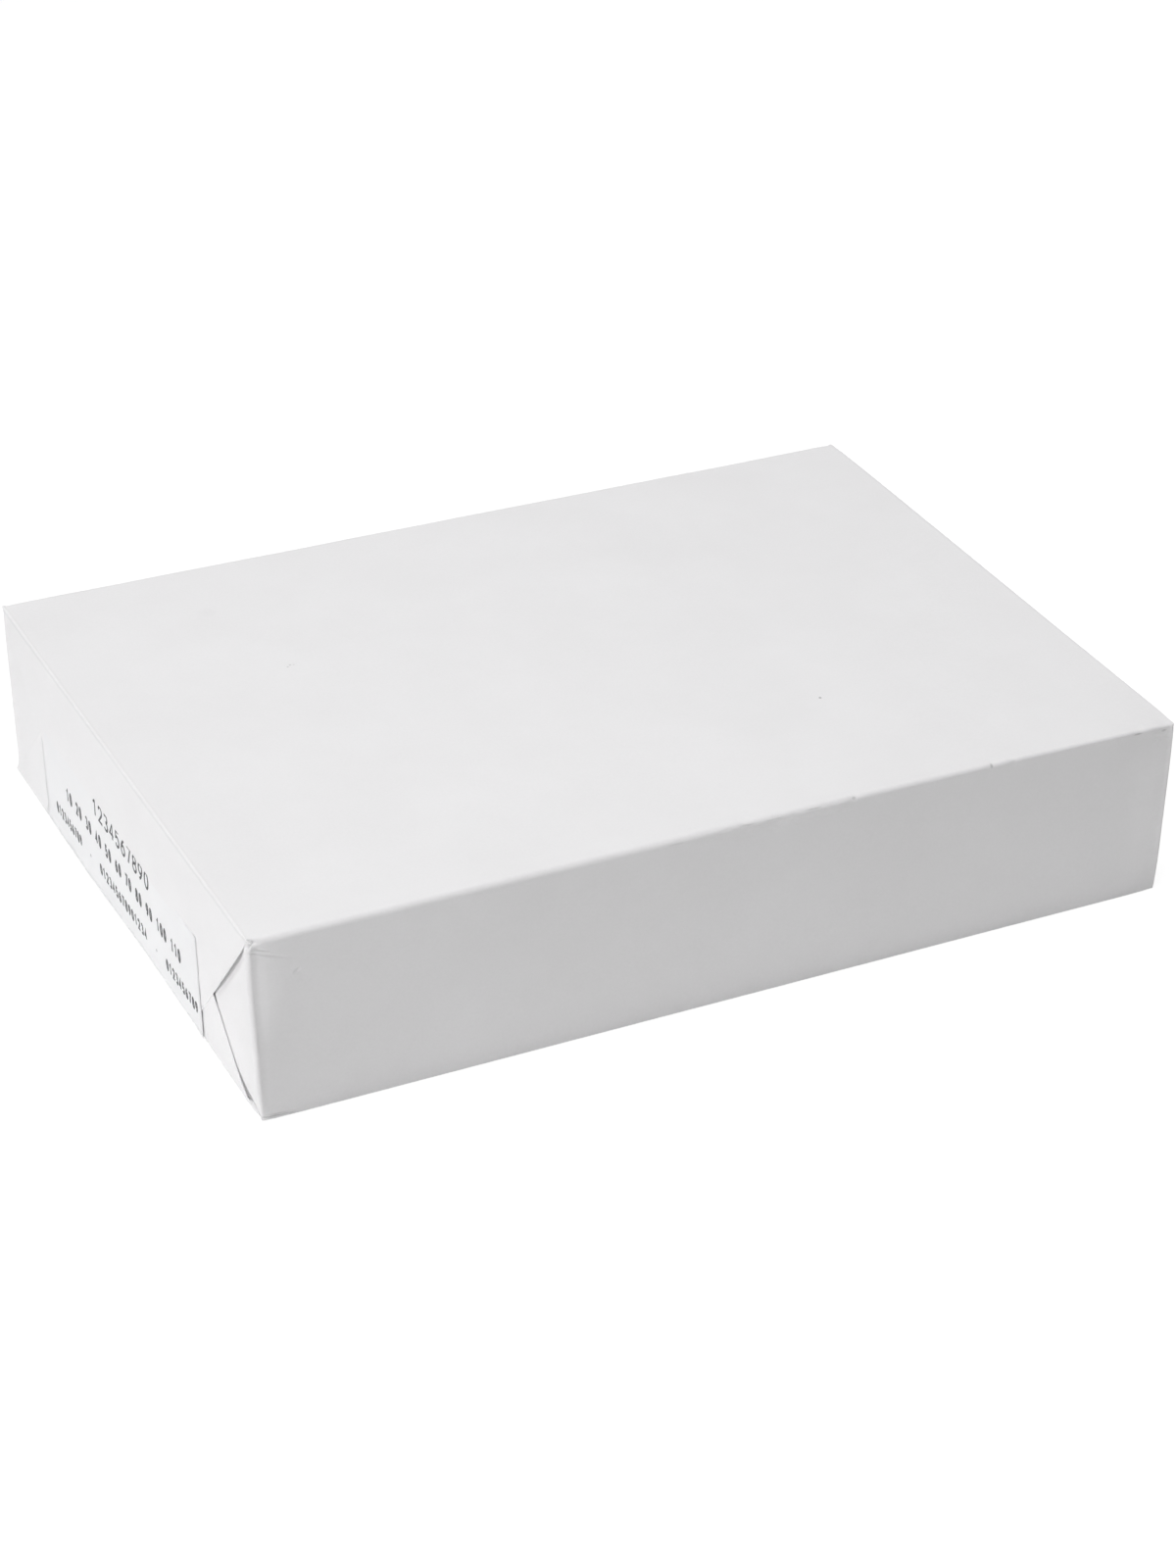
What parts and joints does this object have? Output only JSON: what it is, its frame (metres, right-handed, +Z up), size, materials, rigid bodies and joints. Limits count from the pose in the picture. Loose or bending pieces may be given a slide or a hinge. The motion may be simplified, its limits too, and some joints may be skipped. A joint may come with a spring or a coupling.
{
  "type": "ream of paper",
  "caption": "Sealed pack of A4 drawing paper: a flat white block in a folded paper wrapper, with a white label low on one end.",
  "frame": {"origin": "centre of the pack's footprint, on the underside that it rests on", "axes": "+X along the 297 mm sheet length, away from the label end; +Y across the 210 mm sheet width; +Z up through the stack of sheets"},
  "size_m": [0.2988, 0.2102, 0.0602],
  "materials": {
    "wrapper_paper": "matte uncoated white wrapping paper",
    "label_paper": "smooth matte white label paper"
  },
  "bodies": {
    "root": {"wrapped_ream": "wrapper_paper", "end_label": "label_paper"}
  },
  "joints": []
}
